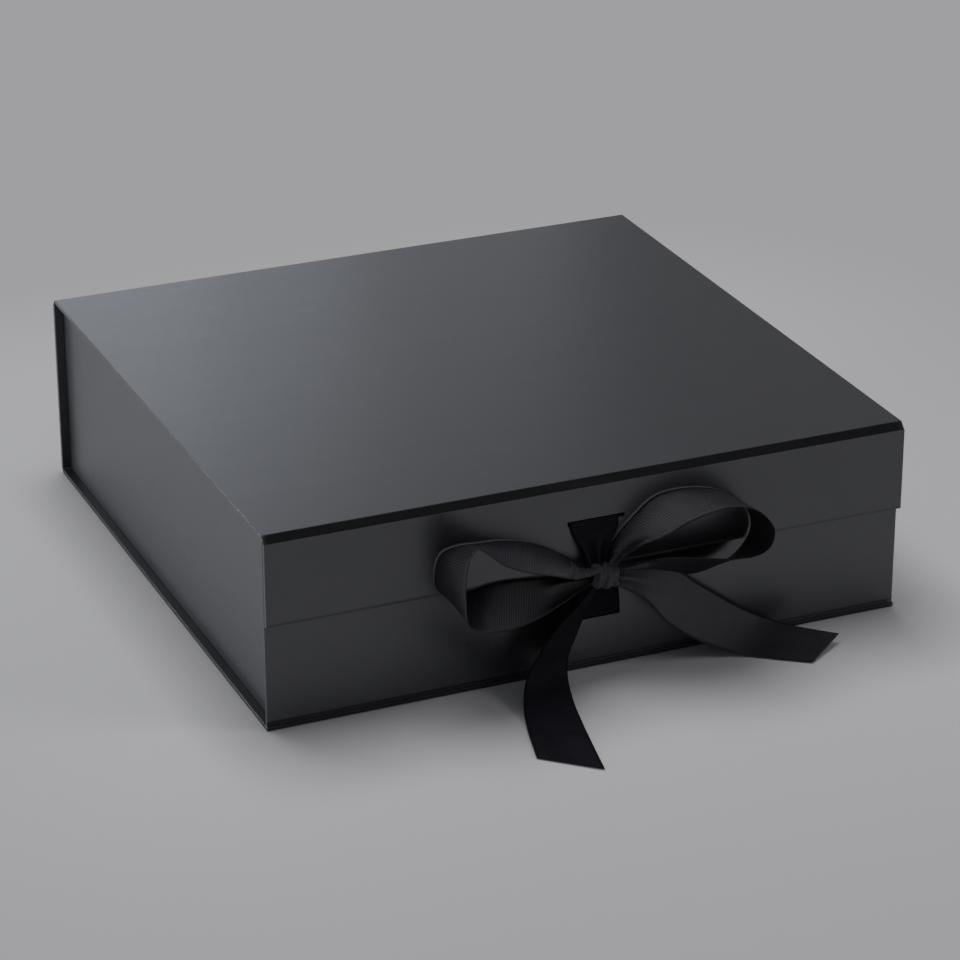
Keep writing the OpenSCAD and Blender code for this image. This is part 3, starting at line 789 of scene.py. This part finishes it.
def hinge_strip(name, board_edge, panel_outer, panel_inner, out):
    """The paper over a hinge, from the lid board's top edge across to the panel's top.

    out is 1 where the panel is behind the lid board, and -1 where it is in front of it. The
    strip's ends go a little into the board and the panel, in mm."""
    outer = [
        (board_edge - out * 0.25, OUTER_H - 0.06),
        (board_edge + out * 0.35, OUTER_H - 0.2),
        (panel_outer - out * 0.6, PANEL_TOP + 0.35),
        (panel_outer - out * 0.2, PANEL_TOP - 0.05),
    ]
    inner = [
        (board_edge - out * 0.5, OUTER_H - 0.6),
        (board_edge - out * 0.5, LID_UNDER + 0.2),
        (panel_inner + out * 0.4, PANEL_TOP - 0.1),
        (panel_outer - out * 0.6, PANEL_TOP - 0.4),
    ]
    return paper_strip(name, outer, inner, OUTER_W / 2 - HINGE_INSET)


def bend(obj):
    """Bakes a hinge strip's placement into its mesh; the strip is not bent or moved to another
    body.
    """
    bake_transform(obj)


lid_crease = hinge_strip("paper_hinge_lid", BOARD_BACK, BACK_OUT, BACK_IN, 1.0)
bend(lid_crease)
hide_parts("lid_hinge_fold", "lid_hinge_leaf")

flap_crease = hinge_strip("paper_hinge_flap", LID_FRONT, FLAP_OUT, FLAP_IN, -1.0)
bend(flap_crease)
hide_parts("flap_hinge_fold", "flap_hinge_leaf")

front_crease = paper_strip(
    "paper_hinge_front",
    [(FRONT_OUT + 0.1, FRONT_FOOT + 0.3), (FRONT_OUT + 0.25, BOARD + 0.7),
     (BASE_FRONT + 0.5, BOARD - 0.1)],
    [(FRONT_IN - 0.3, FRONT_FOOT + 0.3), (FRONT_IN - 0.3, BOARD + 0.4),
     (FRONT_IN - 0.3, BOARD - 0.15)],
    FRONT_HALF_W - 0.1)
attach(front_crease, "base")
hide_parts("front_wall_fold")


# ---------------------------------------------------------------- floor, world and lights
FLOOR = (0.375, 0.370, 0.375)
BACKDROP = (0.352, 0.352, 0.362)
CEILING = (0.10, 0.103, 0.112)
WORLD_LIGHT = (0.190, 0.200, 0.222)
FLOOR_REACH = 9.0                       # m
FLOOR_Z = -0.0002
FOOTPRINT = (0.16, 0.16, 0.0)           # the box's half sizes on the floor, m
SHADOW_REACH = (0.06, 0.26)             # from where the floor fades to the backdrop, and to where
CEILING_HEIGHT = 0.8                    # share of the way up where the ceiling's tone is full
CLEAR_RAYS = ("Is Camera Ray", "Is Glossy Ray", "Is Transmission Ray")


def clear_ray(s):
    """1 for a ray that shows the background: from the camera, or off gloss or through glass."""
    path = s.node("ShaderNodeLightPath").outputs
    camera_ray, glossy, through = (path[name] for name in CLEAR_RAYS)
    return s.math("MAXIMUM", camera_ray, s.math("MAXIMUM", glossy, through))


def make_floor():
    """A plain pale floor that keeps the shadow near the box and fades to the backdrop."""
    mesh = bpy.data.meshes.new("floor")
    reach, low = FLOOR_REACH, FLOOR_Z
    corners = [(-reach, -reach, low), (reach, -reach, low),
               (reach, reach, low), (-reach, reach, low)]
    mesh.from_pydata(corners, [], [(0, 1, 2, 3)])
    floor = bpy.data.objects.new("floor", mesh)
    bpy.context.scene.collection.objects.link(floor)
    s = Shader("floor", roughness=0.9, specular=0.1)
    s.set("Base Color", (*FLOOR, 1.0))
    glow = s.node("ShaderNodeEmission")
    glow.inputs["Color"].default_value = (*BACKDROP, 1.0)
    place = s.vector_math("ABSOLUTE", s.coordinates())
    beyond = s.vector_math("MAXIMUM", s.vector_math("SUBTRACT", place, FOOTPRINT))
    distance = s.node("ShaderNodeVectorMath", operation="LENGTH")
    s.link(beyond, distance.inputs[0])
    far = s.map(distance.outputs["Value"], *SHADOW_REACH)
    blend = s.node("ShaderNodeMixShader")
    s.link(s.math("MULTIPLY", far, clear_ray(s)), blend.inputs[0])
    s.link(s.principled.outputs[0], blend.inputs[1])
    s.link(glow.outputs[0], blend.inputs[2])
    s.link(blend.outputs[0], s.tree.nodes["Material Output"].inputs["Surface"])
    mesh.materials.append(s.material)
    floor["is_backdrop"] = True


def make_world():
    """Soft light all round; gloss and the camera see the backdrop, darker towards the top."""
    world = bpy.data.worlds.new("world")
    bpy.context.scene.world = world
    world.use_nodes = True
    nodes, links = world.node_tree.nodes, world.node_tree.links
    background = nodes["Background"]
    background.inputs["Color"].default_value = (*WORLD_LIGHT, 1.0)
    background.inputs["Strength"].default_value = 1.0
    shown = nodes.new("ShaderNodeBackground")
    direction = nodes.new("ShaderNodeSeparateXYZ")
    links.new(nodes.new("ShaderNodeTexCoord").outputs["Generated"], direction.inputs[0])
    height = nodes.new("ShaderNodeMapRange")
    height.interpolation_type = "SMOOTHSTEP"
    height.inputs["From Min"].default_value = 0.0
    height.inputs["From Max"].default_value = CEILING_HEIGHT
    links.new(direction.outputs["Z"], height.inputs["Value"])
    shade = nodes.new("ShaderNodeMix")
    shade.data_type = "RGBA"
    shade.inputs[MIX_A].default_value = (*BACKDROP, 1.0)
    shade.inputs[MIX_B].default_value = (*CEILING, 1.0)
    links.new(height.outputs[0], shade.inputs[0])
    links.new(shade.outputs[MIX_RESULT], shown.inputs["Color"])
    path = nodes.new("ShaderNodeLightPath").outputs
    either = path[CLEAR_RAYS[0]]
    for ray in CLEAR_RAYS[1:]:
        largest = nodes.new("ShaderNodeMath")
        largest.operation = "MAXIMUM"
        links.new(either, largest.inputs[0])
        links.new(path[ray], largest.inputs[1])
        either = largest.outputs[0]
    choose = nodes.new("ShaderNodeMixShader")
    links.new(either, choose.inputs[0])
    links.new(background.outputs[0], choose.inputs[1])
    links.new(shown.outputs[0], choose.inputs[2])
    links.new(choose.outputs[0], nodes["World Output"].inputs["Surface"])


WHITE = (1.0, 1.0, 1.0)
COOL_TOP = (0.985, 0.99, 1.0)
COOL_SIDE = (0.92, 0.96, 1.0)
COOL_CARD = (0.90, 0.94, 1.0)
BLUE_CARD = (0.86, 0.93, 1.0)
WARM = (1.0, 0.985, 0.98)


def area_light(name, place, target, size, power, colour=WHITE, diffuse=True, gloss=True):
    """A soft lamp that the camera doesn't see, in metres and watts.

    Without diffuse it is a card that only gloss shows, and without gloss it isn't mirrored."""
    data = bpy.data.lights.new(name, "AREA")
    data.shape = "RECTANGLE"
    data.size, data.size_y = size
    data.energy = power
    data.color = colour
    light = bpy.data.objects.new(name, data)
    light.location = place
    light.visible_camera = False
    light.visible_diffuse = diffuse
    light.visible_glossy = gloss
    direction = Vector(target) - Vector(place)
    light.rotation_euler = direction.to_track_quat("-Z", "Y").to_euler()
    bpy.context.scene.collection.objects.link(light)


make_floor()
make_world()
area_light("bow_card", (-0.66, 0.10, 0.96), (0.0, -0.17, 0.05), (0.5, 0.4), 4.4, diffuse=False)
area_light("tail_card", (1.1, -0.80, 0.16), (0.05, -0.17, 0.03), (0.5, 0.25), 1.8, diffuse=False)
area_light("overhead", (-0.10, 0.44, 1.9), (0.0, 0.0, 0.0), (1.2, 1.4), 35, COOL_TOP, gloss=False)
area_light("left", (-1.3, 0.1, 0.35), (-0.2, 0.0, 0.05), (0.9, 0.6), 3.0, COOL_SIDE)
area_light("front_right", (1.10, -0.90, 0.95), (0.0, -0.15, 0.05), (0.6, 0.5), 5.0, WARM,
           gloss=False)
# This card stays below the lid's top, so that the lid never mirrors it
area_light("left_card", (-1.05, 0.46, 0.048), (-0.16, 0.0, 0.045), (0.95, 0.088), 10.0, COOL_CARD,
           diffuse=False)
# Three cards side by side behind the box, each weaker than the one on its left
BACK_CARDS = (("a", -0.125, 0.45, 0.76), ("b", 0.155, 0.11, 0.115), ("c", 0.300, 0.18, 0.085))
BACK_CARD_Y, BACK_CARD_Z, BACK_CARD_HEIGHT = 0.70, 0.30, 0.5
for name, middle, width, power in BACK_CARDS:
    area_light("back_card_" + name, (middle, BACK_CARD_Y, BACK_CARD_Z),
               (middle, 0.0, BACK_CARD_Z), (width, BACK_CARD_HEIGHT), power, BLUE_CARD,
               diffuse=False)

scene = bpy.context.scene
scene.view_settings.view_transform = "Standard"

low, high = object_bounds()
